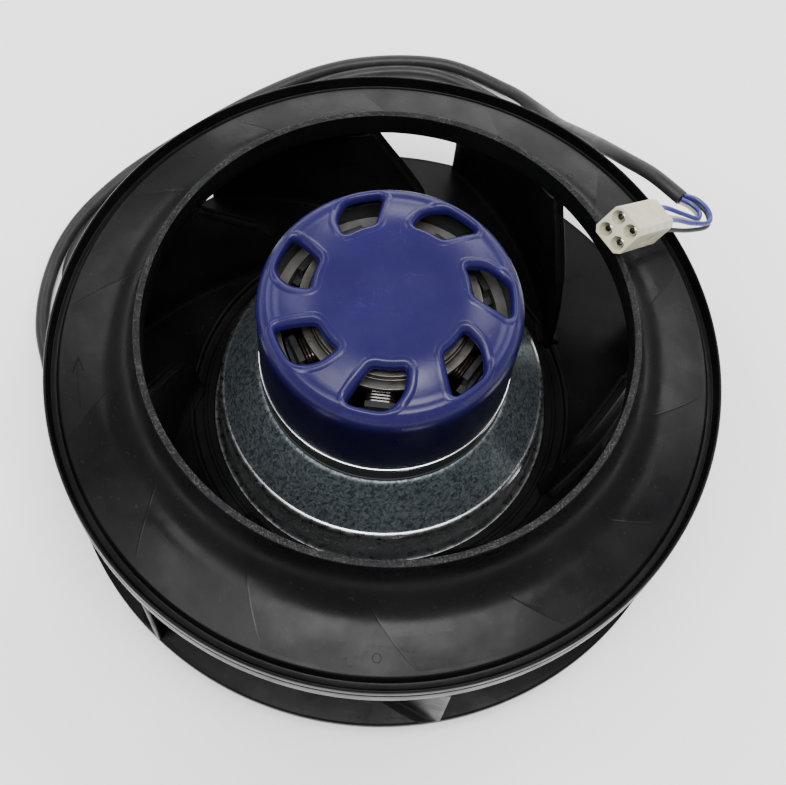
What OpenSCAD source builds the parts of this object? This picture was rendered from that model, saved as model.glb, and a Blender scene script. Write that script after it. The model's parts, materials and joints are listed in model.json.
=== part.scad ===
// Backward-curved centrifugal fan wheel on an external-rotor motor.
// Origin: centre of the motor's mounting face, +Z along the shaft towards the inlet.

/* [Wheel] */
// Outside diameter of the wheel
wheel_d = 190; // [188:1:194]
// Inside diameter of the inlet collar
inlet_d = 132.6; // [131:0.2:133.4]
// Height from the underside of the back plate to the inlet edge
wheel_h = 65.7; // [64:0.1:68]
// Wall thickness of the shroud
shroud_t = 2; // [1.6:0.1:2.2]
// Thickness of a blade
blade_t = 2; // [1.4:0.1:2.6]
// Radius of a blade's plan curve
blade_bend = 108; // [95:1:140]

/* [Motor] */
// Outside diameter of the rotor can
can_d = 71; // [70.6:0.1:71.4]
// Height of the rotor can above the inlet edge
can_rise = 16; // [12:0.5:20]
// Gap from the mounting face to the back plate
floor_gap = 16.3; // [15:0.1:18]
// Outside diameter of the motor base
base_d = 86; // [84:0.5:88]
// Shaft diameter
shaft_d = 8; // [8:0.5:8.5]
// Bolt circle of the mounting threads
mount_pcd = 62; // [58:1:66]
// Tapping diameter of the mounting threads
mount_hole_d = 3.3; // [3:0.1:4]

/* [Cable] */
// Outside diameter of the supply cable
cable_d = 4.6; // [4:0.1:5]
// Outside diameter of one insulated core
core_d = 1.4; // [1.2:0.1:1.6]
// Side of the square connector housing
plug_w = 10.4; // [10:0.1:11]
// Length of the connector housing
plug_l = 25; // [22:0.5:26]
// Distance between the connector's contacts
plug_pitch = 5; // [4.6:0.1:5.2]

/* [Hidden] */
$fn = 96;
eps = 0.01;
joint_gap = 0.1;
blade_count = 7;
vent_count = 7;
magnet_count = 8;
tooth_count = 12;
turn = 360;
blade_step = turn / blade_count;

BLADES = [for (i = [1:blade_count]) str("blade_", i)];

// Wheel levels and radii
wheel_r = wheel_d / 2;
inlet_r = inlet_d / 2;
inlet_z = floor_gap + wheel_h;
collar_wall = 1.9;
collar_straight = 3.2;
collar_depth = 8.7;
flare_r = 14;
flare_end = 256;
flare_c = [inlet_r + collar_wall + flare_r, inlet_z - collar_straight];
under_r = flare_r + shroud_t;
under_start = 180 + asin((collar_depth - collar_straight) / under_r);
ridge = [wheel_r - 4.4, inlet_z - 19.7];
skirt_z = inlet_z - 27.3;
gutter_z = inlet_z - 22.2;
lip_z = inlet_z - 18.3;
skirt_in = wheel_r - 1.8;
rim_top_z = inlet_z - 62.8;
plate_t = 2.2;
plate_bore = 50.2;
plate_step_r = 57;
plate_step_z = 28;
plate_low_z = 26.5;
flange_top_z = 24.3;
flange_t = 1.2;
flange_r = 60;
stake_r = 54.5;
stake_d = 3;

// Blade plan: an arc through the foot of the leading edge and the trailing edge
blade_in = [56, 26];
blade_out = [wheel_r, 80.4];

// Rotor levels
can_r = can_d / 2;
can_t = 1.6;
can_top = inlet_z + can_rise;
can_low = inlet_z - 19.6;
can_flat_r = 20;
can_brow_r = 30.5;
can_brow_z = can_top - 3.8;
can_side_z = can_top - 9.5;
vent_in = 20.8;
vent_out = 31;
ring_r = 36;
ring_t = 1.2;
band_r = 35.6;
dish_r = 48;
dish_rim = [47.7, inlet_z - 41.7];
dish_neck = [36.1, 53.7];
yoke_r = can_r - can_t - 0.05;
yoke_t = 1.7;
yoke_top = 88.5;
magnet_r = yoke_r - yoke_t - 0.05;
magnet_t = 2.8;
magnet_low = 60;
magnet_h = 22;

// Shaft and bearings
shaft_r = shaft_d / 2;
bearing_r = 11;
bearing_w = 7;
bearing_track = 7.4;
ball_d = 4;
ball_count = 7;
ball_play = 0.04;
inner_race_r = 6.1;
outer_race_r = 9;
upper_bearing_z = 78;
lower_bearing_z = 29;
spring_h = 2;
spring_top = lower_bearing_z + bearing_w + spring_h;
hub_r = 12;
hub_neck_r = 5.6;
hub_step_z = 90;
hub_seat_r = [24.5, 21.5, 18];
hub_seat_z = 89;
hub_seat_t = 1.45;
shaft_low = lower_bearing_z - 3;
clip_z = lower_bearing_z - 1.1;
clip_t = 1;
clip_groove_r = shaft_r - 0.4;

// Stator levels
base_r = base_d / 2;
base_wall = 2.5;
base_floor = 4;
base_h = 24;
tube_r = 13.9;
tube_bore = 10;
tube_top = 85.5;
stack_r = 28.6;
stack_low = 61;
stack_h = 20;
tooth_w = 3.6;
tooth_in = 16.8;
tooth_out = 26;
cap_t = 1.2;
coil_gap = 0.25;
coil_t = 2;
board_z = 11;
board_t = 1.6;
lid_t = 2;
lid_top = 35;
gasket_t = 0.8;
screw_pcr = 36.4;
board_pcr = 24;
cable_angle = 170;
gland_z = 9.2;
gland_flange_r = 5;
boot_end = 67;

// Connector pose: it leans on the inlet collar with its rear hanging over the rim
plug_at = [59, 29, 92.4];
plug_turn = -132;
plug_lean = 50;
plug_roll = -9.5;
socket_r = 1.75;
socket_depth = 12;

// Cable route: out under the wheel, once round the base, back round the far side, up to the rim
cable_route = [
    [-66, 11.6, 9.2], [-73, 12.8, 8.6], [-80, 14.3, 6.6], [-87, 16.8, 4.2], [-94, 20.8, 2.8],
    [-101, 27, 2.4], [-106.5, 35.5, 2.3], [-109.2, 47, 2.3], [-106.6, 60, 2.3],
    [-98.4, 75.6, 2.3], [-84, 93, 2.3], [-54, 120, 2.3], [-25, 138.6, 2.3], [7, 143.8, 2.3],
    [37.2, 130.6, 2.3], [64, 112, 2.3], [83, 84, 2.3], [90, 50, 2.3], [85, 12, 2.3],
    [66, -24, 2.3], [34, -52, 2.3], [-4, -64, 2.3], [-42, -64, 2.3], [-74, -49, 2.3],
    [-95.5, -23, 2.3], [-107, 7, 2.3], [-113.5, 24, 2.3], [-115.1, 42, 2.3], [-112, 60, 2.3],
    [-103.5, 77, 2.3], [-88, 96, 2.3], [-56, 125.5, 2.3], [-26, 143.7, 2.3], [8, 149, 2.5],
    [33.4, 140, 3.3], [45, 127.8, 9.6], [51.2, 113.6, 21.4], [56, 100.2, 35.6], [61.2, 87.2, 49],
    [67.4, 76, 58.8], [75, 67.6, 63.9], [83.5, 60, 64.5]];
cable_steps = 2;
cable_sides = 10;

// Core routes: from the end of the jacket, round a half turn, into the back of the connector
blue_a_route = [
    [83.1, 59.2, 65.3], [86.3, 58.3, 64.6], [88.7, 55.6, 64.8], [87.6, 52.4, 66.2],
    [82.2, 51.2, 69.8], [76, 50, 73.9], [71.5, 46.1, 78.4]];
blue_b_route = [
    [83.9, 60.8, 65.3], [88.3, 60, 64.6], [91.6, 56.4, 64.6], [91.2, 51.8, 65.7],
    [85.4, 48.6, 69.2], [79.6, 46.4, 73.4], [74.8, 42.5, 77.9]];
white_route = [
    [83.1, 59.2, 63.7], [86.4, 58.2, 62.9], [88.8, 55.4, 62.9], [87.7, 52.2, 64],
    [81.9, 51, 67.1], [75, 49, 70.4], [68.8, 44.3, 74.7]];
black_route = [
    [83.9, 60.8, 63.7], [88.4, 60, 62.8], [91.7, 56.4, 62.5], [91.1, 51.5, 63.6],
    [84.6, 47.6, 66.6], [78, 45, 69.8], [72.1, 40.7, 74.1]];
core_sides = 8;

// ---- helpers ----
function polar(r, a) = [r * cos(a), r * sin(a)];
function arc(c, r, from, to, n) = [for (i = [0:n]) c + polar(r, from + (to - from) * i / n)];
function down(points, d) = [for (p = points) [p[0], p[1] - d]];
function unit(v) = v / norm(v);

// Catmull-Rom point between route[i] and route[i + 1]
function spline_point(route, i, t) =
    let (n = len(route) - 1, a = route[max(i - 1, 0)], b = route[i])
    let (c = route[min(i + 1, n)], d = route[min(i + 2, n)])
    0.5 * (2 * b + (c - a) * t + (2 * a - 5 * b + 4 * c - d) * t * t
        + (3 * b - 3 * c + d - a) * t * t * t);
function smooth(route, steps) = concat(
    [for (i = [0:len(route) - 2], k = [0:steps - 1]) spline_point(route, i, k / steps)],
    [route[len(route) - 1]]);
function heading(path, i) = unit(path[min(i + 1, len(path) - 1)] - path[max(i - 1, 0)]);

// Round tube swept along a smoothed route
module swept_tube(route, d, steps, sides) {
    path = smooth(route, steps);
    n = len(path);
    rings = [for (i = [0:n - 1])
        let (along = heading(path, i), side = unit(cross(along, [0, 0, 1])), up = cross(side, along))
        for (k = [0:sides - 1])
            path[i] + d / 2 * (cos(turn * k / sides) * side + sin(turn * k / sides) * up)];
    walls = [for (i = [0:n - 2], k = [0:sides - 1])
        let (a = i * sides + k, b = i * sides + (k + 1) % sides) [a, b, b + sides, a + sides]];
    ends = [[for (k = [sides - 1:-1:0]) k], [for (k = [0:sides - 1]) (n - 1) * sides + k]];
    polyhedron(points = rings, faces = concat(walls, ends), convexity = 10);
}

module ring(r_out, r_in, h) {
    difference() {
        cylinder(r = r_out, h = h);
        translate([0, 0, -1]) cylinder(r = r_in, h = h + 2);
    }
}

module around(count, r, first = 0) {
    for (i = [0:count - 1]) rotate([0, 0, first + turn * i / count]) translate([r, 0, 0]) children();
}

// ---- wheel ----
// Underside of the shroud from the inlet collar to the skirt, lowered by gap
function shroud_under(gap) = concat(
    down([[inlet_r, inlet_z - collar_depth]], gap),
    down(arc(flare_c, under_r, under_start, flare_end, 10), gap),
    down([[ridge[0] + 0.4, ridge[1] - 2.2], [ridge[0] + 0.6, skirt_z + 3.2], [skirt_in, skirt_z + 3.2]], gap));

module inlet_shroud() {
    top = concat(
        [[inlet_r, inlet_z], [inlet_r + collar_wall, inlet_z]],
        arc(flare_c, flare_r, 180, flare_end, 12),
        [ridge, [ridge[0] + 0.4, ridge[1] - 0.3], [ridge[0] + 0.6, ridge[1] - 1.2],
         [ridge[0] + 1, gutter_z], [wheel_r - 1.7, gutter_z], [wheel_r - 1, lip_z - 0.2],
         [wheel_r - 0.6, lip_z], [wheel_r - 0.1, lip_z - 0.6], [wheel_r, lip_z - 2.8],
         [wheel_r - 0.3, lip_z - 3.4], [wheel_r, lip_z - 4]]);
    bottom = [[wheel_r, skirt_z], [skirt_in, skirt_z]];
    under = shroud_under(0);
    rest = [for (i = [len(under) - 1:-1:0]) under[i]];
    color([0.11, 0.11, 0.12]) rotate_extrude($fn = 180) polygon(concat(top, bottom, rest));
}

function plate_top(r) = plate_step_z
    + (rim_top_z - plate_step_z) * (r - plate_step_r) / (wheel_r - plate_step_r);

// Side view of a blade: leading edge, shroud side, trailing edge, back-plate side
function blade_side() = concat(
    [[plate_step_r - 1.2, plate_low_z], [56.4, inlet_z - 42], [57.2, inlet_z - 34], [58.8, inlet_z - 27],
     [61.4, inlet_z - 20.5], [64, inlet_z - 14.5]],
    shroud_under(joint_gap),
    [[skirt_in, skirt_z - joint_gap], [wheel_r - 0.1, skirt_z - joint_gap],
     [wheel_r - 0.1, plate_top(wheel_r - 0.1)], [plate_step_r, plate_step_z], [plate_step_r, plate_low_z]]);

module blade(i) {
    p = polar(blade_in[0], blade_in[1]);
    q = polar(blade_out[0], blade_out[1]);
    half = norm(q - p) / 2;
    across = [p[1] - q[1], q[0] - p[0]] / (2 * half);
    centre = (p + q) / 2 + across * sqrt(blade_bend * blade_bend - half * half);
    color([0.09, 0.09, 0.1]) rotate([0, 0, blade_step * i]) intersection() {
        rotate([0, 0, blade_in[1] - 12]) rotate_extrude(angle = 85, $fn = 180) polygon(blade_side());
        translate([centre[0], centre[1], 0]) difference() {
            cylinder(r = blade_bend + blade_t / 2, h = inlet_z, $fn = 180);
            translate([0, 0, -1]) cylinder(r = blade_bend - blade_t / 2, h = inlet_z + 2, $fn = 180);
        }
    }
}

module back_plate() {
    side = [[plate_bore, plate_low_z], [plate_step_r, plate_low_z], [plate_step_r, plate_step_z],
        [wheel_r, rim_top_z], [wheel_r, floor_gap], [wheel_r - 2, floor_gap],
        [wheel_r - 2.1, rim_top_z - plate_t + 0.5], [flange_r + 0.6, flange_top_z + 0.6],
        [flange_r + 0.4, flange_top_z], [plate_bore, flange_top_z]];
    color([0.1, 0.1, 0.11]) {
        rotate_extrude($fn = 180) polygon(side);
        around(blade_count, stake_r) translate([0, 0, flange_top_z - flange_t - 1.4])
            cylinder(d = stake_d + 2, h = 1.4);
        around(blade_count, stake_r) translate([0, 0, flange_top_z - flange_t - 0.4])
            cylinder(d = stake_d, h = flange_t + 1);
    }
}

module hub_flange() {
    t = flange_t;
    outer = concat([[33.9, dish_neck[1]], dish_neck], arc([dish_r - 2, dish_rim[1] - 1.2], 2, 50, 0, 5),
        [[dish_r, 26.8], [dish_r + 0.6, 25.2], [plate_bore - 0.4, flange_top_z], [flange_r, flange_top_z]]);
    inner = [[flange_r, flange_top_z - t], [dish_r - 0.4, flange_top_z - t], [dish_r - t, 26],
        [dish_r - t, dish_rim[1] - 1.4], [dish_r - 2.2, dish_rim[1] - 0.6],
        [dish_neck[0] - 0.4, dish_neck[1] - t], [33.9, dish_neck[1] - t]];
    color([0.55, 0.58, 0.58]) difference() {
        rotate_extrude($fn = 120) polygon(concat(outer, inner));
        around(blade_count, stake_r) translate([0, 0, flange_top_z - 5]) cylinder(d = stake_d + 0.2, h = 10);
    }
}

// ---- rotor ----
module vent_shape() {
    inner = [for (a = [-8:6.675:18.7]) polar(vent_in, a)];
    outer = [for (a = [3.5:-3.95:-12.3]) polar(vent_out, a)];
    polygon(concat(inner, [polar(26, 12.8)], outer, [polar(26, -8.8)]));
}

module rotor_can() {
    outer = concat([[0, can_top], [can_flat_r - 0.6, can_top], [can_flat_r, can_top - 0.4],
        [can_brow_r, can_brow_z]], arc([can_r - 6.4, can_side_z + 0.2], 6.4, 60, 0, 5), [[can_r, can_low]]);
    inner = concat([[can_r - can_t, can_low]],
        arc([can_r - can_t - 4.8, can_side_z + 0.2], 4.8, 0, 60, 4),
        [[can_brow_r - 0.4, can_brow_z - can_t], [can_flat_r, can_top - 0.4 - can_t], [0, can_top - 2]]);
    color([0.25, 0.25, 0.66]) difference() {
        rotate_extrude($fn = 120) polygon(concat(outer, inner));
        around(vent_count, 0, 10.3) translate([0, 0, can_top - 12]) linear_extrude(14) vent_shape();
    }
}

module can_edge_ring() {
    color([0.85, 0.85, 0.86]) translate([0, 0, can_low - ring_t]) ring(ring_r, yoke_r + 0.05, ring_t);
}

module can_seal_band() {
    color([0.08, 0.08, 0.09]) translate([0, 0, dish_neck[1]])
        ring(band_r, yoke_r + 0.05, can_low - ring_t - dish_neck[1]);
}

module rotor_yoke() {
    color([0.45, 0.46, 0.48]) translate([0, 0, dish_neck[1]])
        ring(yoke_r, yoke_r - yoke_t, yoke_top - dish_neck[1]);
}

module magnets() {
    slot = 1;
    color([0.2, 0.2, 0.22]) translate([0, 0, magnet_low]) difference() {
        ring(magnet_r, magnet_r - magnet_t, magnet_h);
        around(magnet_count, magnet_r - magnet_t / 2)
            translate([-magnet_t, -slot / 2, -1]) cube([2 * magnet_t, slot, magnet_h + 2]);
    }
}

module shaft_hub() {
    top = can_top - 2;
    foot = upper_bearing_z + bearing_w;
    color([0.7, 0.7, 0.68]) difference() {
        union() {
            translate([0, 0, foot]) cylinder(r = hub_neck_r, h = hub_step_z - foot + eps);
            translate([0, 0, hub_step_z]) cylinder(r = hub_r, h = top - hub_step_z);
            for (i = [0:len(hub_seat_r) - 1])
                translate([0, 0, hub_seat_z + i * hub_seat_t])
                    cylinder(r = hub_seat_r[i], h = hub_seat_t + eps);
        }
        translate([0, 0, foot - 1]) cylinder(r = shaft_r, h = top - foot + 2);
    }
}

module shaft() {
    color([0.75, 0.76, 0.78]) difference() {
        translate([0, 0, shaft_low]) cylinder(r = shaft_r, h = can_top - 2 - shaft_low);
        translate([0, 0, clip_z]) ring(shaft_r + 1, clip_groove_r, clip_t + 0.1);
    }
}

module shaft_circlip() {
    color([0.3, 0.3, 0.32]) translate([0, 0, clip_z + 0.05]) difference() {
        ring(shaft_r + 1.6, clip_groove_r, clip_t);
        translate([0, -1.4, -1]) cube([10, 2.8, 4]);
    }
}

// ---- bearings ----
module race_groove() {
    rotate_extrude($fn = 96) translate([(inner_race_r + outer_race_r) / 2, bearing_w / 2])
        circle(d = ball_d + 2 * ball_play, $fn = 48);
}

module bearing_inner() {
    color([0.72, 0.73, 0.75]) difference() {
        ring(inner_race_r, shaft_r, bearing_w);
        race_groove();
    }
}

module bearing_outer() {
    color([0.66, 0.67, 0.7]) difference() {
        ring(bearing_r, outer_race_r, bearing_w);
        race_groove();
    }
}

module ball_cage() {
    mid = (inner_race_r + outer_race_r) / 2;
    color([0.8, 0.78, 0.7]) translate([0, 0, bearing_w / 2]) {
        difference() {
            translate([0, 0, -1.2]) ring(mid + 0.7, mid - 0.7, 2.4);
            around(ball_count, mid) sphere(d = ball_d + 0.2, $fn = 32);
        }
        around(ball_count, mid) sphere(d = ball_d, $fn = 32);
    }
}

module upper_bearing_inner() { translate([0, 0, upper_bearing_z]) bearing_inner(); }
module lower_bearing_inner() { translate([0, 0, lower_bearing_z]) bearing_inner(); }
module upper_bearing_outer() { translate([0, 0, upper_bearing_z]) bearing_outer(); }
module lower_bearing_outer() { translate([0, 0, lower_bearing_z]) bearing_outer(); }
module upper_ball_cage() { translate([0, 0, upper_bearing_z]) ball_cage(); }
module lower_ball_cage() { translate([0, 0, lower_bearing_z]) ball_cage(); }

module preload_spring() {
    color([0.6, 0.6, 0.62]) translate([0, 0, lower_bearing_z + bearing_w])
        ring(bearing_r - 0.3, tube_bore - 0.6, spring_h);
}

// ---- stator ----
module motor_base() {
    color([0.68, 0.69, 0.7]) difference() {
        union() {
            cylinder(r = base_r, h = base_floor);
            ring(base_r, base_r - base_wall, base_h);
            cylinder(r = tube_r, h = tube_top);
            around(4, screw_pcr, 45) cylinder(r = 3.6, h = base_h);
            around(4, mount_pcd / 2) cylinder(r = 4, h = board_z - 1);
            around(3, board_pcr, 45) cylinder(r = 3, h = board_z);
        }
        translate([0, 0, -1]) cylinder(r = bearing_r, h = spring_top + 1);
        translate([0, 0, spring_top - 1]) cylinder(r = tube_bore, h = upper_bearing_z - spring_top + 1 + eps);
        translate([0, 0, upper_bearing_z]) cylinder(r = bearing_r, h = 20);
        around(4, screw_pcr, 45) translate([0, 0, base_h - 8]) cylinder(r = 1.25, h = 10);
        around(4, mount_pcd / 2) translate([0, 0, -1]) cylinder(d = mount_hole_d, h = 9);
        around(3, board_pcr, 45) translate([0, 0, board_z - 5]) cylinder(r = 1, h = 6);
        rotate([0, 0, cable_angle]) translate([base_r - 8, 0, gland_z]) rotate([0, 90, 0])
            cylinder(r = 4, h = 20);
    }
}

// Plug pressed into the base below the lower bearing
module bearing_cap() {
    color([0.7, 0.71, 0.72]) translate([0, 0, 0.6]) {
        cylinder(r = bearing_r, h = 2);
        ring(bearing_r, bearing_r - 1.6, 6);
    }
}

module tooth_shape(w) {
    translate([tooth_in - 1, -w / 2]) square([tooth_out - tooth_in + 1.5, w]);
}

module lamination_stack() {
    lip_w = 12.4;
    color([0.4, 0.41, 0.43]) translate([0, 0, stack_low]) {
        ring(tooth_in, tube_r + 0.02, stack_h);
        intersection() {
            ring(stack_r, tooth_in - 0.5, stack_h);
            for (i = [0:tooth_count - 1]) rotate([0, 0, turn * i / tooth_count]) linear_extrude(stack_h) {
                tooth_shape(tooth_w);
                translate([tooth_out, -lip_w / 2]) square([4, lip_w]);
            }
        }
    }
}

// End cap of the stack: inner wall, tooth covers and outer coil stops, rising from z = 0
module insulator(h) {
    color([0.84, 0.8, 0.68]) {
        ring(tooth_in, tube_r + 0.02, h);
        for (i = [0:tooth_count - 1]) rotate([0, 0, turn * i / tooth_count]) {
            linear_extrude(cap_t) tooth_shape(tooth_w);
            translate([tooth_out, -4, 0]) cube([1.6, 8, h]);
        }
    }
}

module upper_insulator() { translate([0, 0, stack_low + stack_h]) insulator(5); }
module lower_insulator() { translate([0, 0, stack_low]) mirror([0, 0, 1]) insulator(4.4); }

module windings() {
    in_w = tooth_w + 2 * coil_gap;
    in_h = stack_h + 2 * cap_t + 2 * coil_gap;
    coil_l = tooth_out - tooth_in - 1;
    color([0.72, 0.42, 0.2])
        for (i = [0:tooth_count - 1]) rotate([0, 0, turn * i / tooth_count])
            translate([tooth_in + 0.4, 0, stack_low + stack_h / 2]) rotate([0, 90, 0]) linear_extrude(coil_l)
                difference() {
                    square([in_h + 2 * coil_t, in_w + 2 * coil_t], center = true);
                    square([in_h, in_w], center = true);
                }
}

module circuit_board() {
    color([0.08, 0.3, 0.16]) translate([0, 0, board_z]) difference() {
        ring(base_r - base_wall - 2.2, tube_r + 0.6, board_t);
        around(4, screw_pcr, 45) translate([0, 0, -1]) cylinder(r = 4.2, h = 4);
        around(3, board_pcr, 45) translate([0, 0, -1]) cylinder(r = 1.25, h = 4);
    }
}

// Radial electrolytic capacitors standing on the board
module capacitors() {
    color([0.13, 0.13, 0.16]) for (a = [70, 115]) rotate([0, 0, a])
        translate([24.5, 0, board_z + board_t]) cylinder(d = 12, h = 18);
}

module power_chips() {
    color([0.1, 0.1, 0.1]) for (a = [238, 256, 274, 292, 336, 0, 22]) rotate([0, 0, a])
        translate([29, -3, board_z + board_t]) cube([6.5, 6, 2.4]);
}

module base_lid() {
    low = base_h + gasket_t;
    side = [[tube_r + 0.5, lid_top - lid_t], [tube_r + 0.5, lid_top], [33, lid_top], [36, lid_top - 1],
        [38.2, low + lid_t], [base_r, low + lid_t], [base_r, low], [33.5, low], [33, low + 1.6],
        [31.4, lid_top - lid_t]];
    color([0.14, 0.14, 0.15]) difference() {
        union() {
            rotate_extrude() polygon(side);
            around(4, screw_pcr, 45) translate([0, 0, low]) cylinder(r = 3.4, h = lid_t);
        }
        around(4, screw_pcr, 45) translate([0, 0, low - 1]) cylinder(r = 1.6, h = 20);
        around(4, screw_pcr, 45) translate([0, 0, low + lid_t]) cylinder(r = 3.2, h = 20);
    }
}

module lid_gasket() {
    color([0.16, 0.17, 0.17]) translate([0, 0, base_h]) difference() {
        union() {
            ring(base_r - 0.2, base_r - base_wall + 0.2, gasket_t);
            around(4, screw_pcr, 45) cylinder(r = 4.6, h = gasket_t);
        }
        around(4, screw_pcr, 45) translate([0, 0, -1]) cylinder(r = 1.6, h = 4);
    }
}

module pan_screw(r, length, head_r, head_h) {
    translate([0, 0, -length]) cylinder(r = r, h = length + eps);
    difference() {
        cylinder(r = head_r, h = head_h);
        for (a = [0, 90]) rotate([0, 0, a]) translate([-head_r * 0.6, -0.35, head_h - 0.7])
            cube([head_r * 1.2, 0.7, 2]);
    }
}

module lid_screws() {
    color([0.7, 0.7, 0.72]) around(4, screw_pcr, 45) translate([0, 0, base_h + gasket_t + lid_t])
        pan_screw(1.2, 8, 2.6, 1.8);
}

module board_screws() {
    color([0.75, 0.75, 0.76]) around(3, board_pcr, 45) translate([0, 0, board_z + board_t])
        pan_screw(0.95, 5, 2.1, 1.4);
}

// ---- cable ----
module cable_gland() {
    start = base_r - base_wall - 1.8;
    color([0.1, 0.1, 0.1]) rotate([0, 0, cable_angle]) translate([start, 0, gland_z]) rotate([0, 90, 0]) {
        cylinder(r = gland_flange_r, h = 1.4);
        cylinder(r = 3.9, h = base_wall + 2);
        translate([0, 0, base_wall + 1.9]) cylinder(r = gland_flange_r, h = 1.5);
        translate([0, 0, base_wall + 3.3])
            cylinder(r1 = 4.4, r2 = cable_d / 2 + 0.7, h = boot_end - start - base_wall - 3.3);
    }
}

module supply_cable() { color([0.15, 0.15, 0.15]) swept_tube(cable_route, cable_d, cable_steps, cable_sides); }
module core_blue_a() { color([0.2, 0.24, 0.62]) swept_tube(blue_a_route, core_d, 2, core_sides); }
module core_blue_b() { color([0.2, 0.24, 0.62]) swept_tube(blue_b_route, core_d, 2, core_sides); }
module core_white() { color([0.85, 0.84, 0.8]) swept_tube(white_route, core_d, 2, core_sides); }
module core_black() { color([0.08, 0.08, 0.08]) swept_tube(black_route, core_d, 2, core_sides); }

// Connector frame: z points out of the mating face, which lies at z = 0
module on_plug() {
    translate(plug_at) rotate([0, plug_lean, plug_turn]) rotate([0, 0, plug_roll]) children();
}

module at_contacts() {
    for (x = [-1, 1], y = [-1, 1]) translate([x * plug_pitch / 2, y * plug_pitch / 2, 0]) children();
}

module connector_housing() {
    chamfer = 1.4;
    h = plug_w / 2;
    side = [[-h + chamfer, -h], [h - chamfer, -h], [h, -h + chamfer], [h, h - chamfer], [h - chamfer, h],
        [-h + chamfer, h], [-h, h - chamfer], [-h, -h + chamfer]];
    color([0.85, 0.84, 0.76]) on_plug() difference() {
        translate([0, 0, -plug_l]) linear_extrude(plug_l) polygon(side);
        at_contacts() translate([0, 0, -socket_depth]) cylinder(r = socket_r, h = socket_depth + 1);
        at_contacts() translate([0, 0, -plug_l - 1]) cylinder(r = core_d / 2 + 0.3, h = plug_l);
    }
}

module connector_contacts() {
    color([0.8, 0.78, 0.7]) on_plug() at_contacts() translate([0, 0, -socket_depth - 4])
        cylinder(r = 0.9, h = 14);
}

inlet_shroud();
for (i = [1:blade_count]) blade(i - 1);
back_plate();
hub_flange();
rotor_can();
can_edge_ring();
can_seal_band();
rotor_yoke();
magnets();
shaft_hub();
shaft();
shaft_circlip();
upper_bearing_inner();
lower_bearing_inner();
upper_ball_cage();
lower_ball_cage();
upper_bearing_outer();
lower_bearing_outer();
preload_spring();
motor_base();
bearing_cap();
lamination_stack();
windings();
upper_insulator();
lower_insulator();
circuit_board();
capacitors();
power_chips();
base_lid();
lid_gasket();
lid_screws();
board_screws();
cable_gland();
supply_cable();
core_blue_a();
core_blue_b();
core_white();
core_black();
connector_housing();
connector_contacts();
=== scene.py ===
import json
import math

import bmesh
import bpy
from mathutils import Matrix, Vector

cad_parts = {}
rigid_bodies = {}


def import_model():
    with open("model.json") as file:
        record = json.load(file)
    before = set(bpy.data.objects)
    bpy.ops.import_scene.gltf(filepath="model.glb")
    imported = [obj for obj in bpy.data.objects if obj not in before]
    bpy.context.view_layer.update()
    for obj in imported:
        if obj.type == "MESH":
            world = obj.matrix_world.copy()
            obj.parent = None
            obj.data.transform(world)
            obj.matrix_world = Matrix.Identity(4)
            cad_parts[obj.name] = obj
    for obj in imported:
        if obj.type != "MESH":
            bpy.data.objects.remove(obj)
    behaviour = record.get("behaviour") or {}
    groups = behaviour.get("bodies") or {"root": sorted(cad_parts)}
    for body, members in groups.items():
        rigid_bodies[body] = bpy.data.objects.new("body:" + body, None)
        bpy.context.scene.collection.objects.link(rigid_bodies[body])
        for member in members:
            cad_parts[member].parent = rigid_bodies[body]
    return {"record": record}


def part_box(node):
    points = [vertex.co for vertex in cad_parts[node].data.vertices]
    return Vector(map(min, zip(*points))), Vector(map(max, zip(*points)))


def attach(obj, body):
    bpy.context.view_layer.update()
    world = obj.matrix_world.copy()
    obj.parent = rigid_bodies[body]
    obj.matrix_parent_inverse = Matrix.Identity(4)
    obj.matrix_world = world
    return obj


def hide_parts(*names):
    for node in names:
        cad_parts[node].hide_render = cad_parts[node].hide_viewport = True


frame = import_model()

MM = 0.001
TURN = 2 * math.pi
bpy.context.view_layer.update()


# ---------- sizes read from the frame, in millimetres ----------
def top(node):
    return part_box(node)[1].z / MM


def foot(node):
    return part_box(node)[0].z / MM


def reach(node):
    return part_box(node)[1].x / MM


WHEEL_R = reach("inlet_shroud")
INLET_Z = top("inlet_shroud")
SKIRT_Z = foot("inlet_shroud")
PLATE_Z = foot("back_plate")
CAN_R = reach("rotor_can")
CAN_TOP = top("rotor_can")
CAN_LOW = foot("rotor_can")
BASE_R = reach("motor_base")
BLADES = 7
BLADE_STEP = TURN / BLADES
MOUNTS = {m["name"]: m for m in frame["record"]["mounts"]}

INLET_R = 66.3
COLLAR_WALL = 1.9
COLLAR_STRAIGHT = 3.2
COLLAR_DEPTH = 8.7
FLARE_END = 256
FLARE_R = 14
SHROUD_T = 2
FLARE_C = (INLET_R + COLLAR_WALL + FLARE_R, INLET_Z - COLLAR_STRAIGHT)
RIDGE = (WHEEL_R - 4.4, INLET_Z - 19.7)
GUTTER_Z = INLET_Z - 22.2
LIP_Z = INLET_Z - 18.3
SKIRT_IN = WHEEL_R - 1.8
PLATE_STEP_R = 57
PLATE_STEP_Z = 28
RIM_TOP_Z = INLET_Z - 62.8
STAKE_R = 54.5
HUB_NECK_R = 5.6
HUB_SEAT_Z = 89
HUB_SEAT_T = 1.45


# ---------- small maths ----------
def polar(r, degrees):
    a = math.radians(degrees)
    return (r * math.cos(a), r * math.sin(a))


def arc(centre, r, start, end, n):
    points = []
    for i in range(n + 1):
        x, y = polar(r, start + (end - start) * i / n)
        points.append((centre[0] + x, centre[1] + y))
    return points


def blend(a, b, t):
    return a + (b - a) * t


def smooth_step(lo, hi, x):
    t = min(1, max(0, (x - lo) / (hi - lo)))
    return t * t * (3 - 2 * t)


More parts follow.
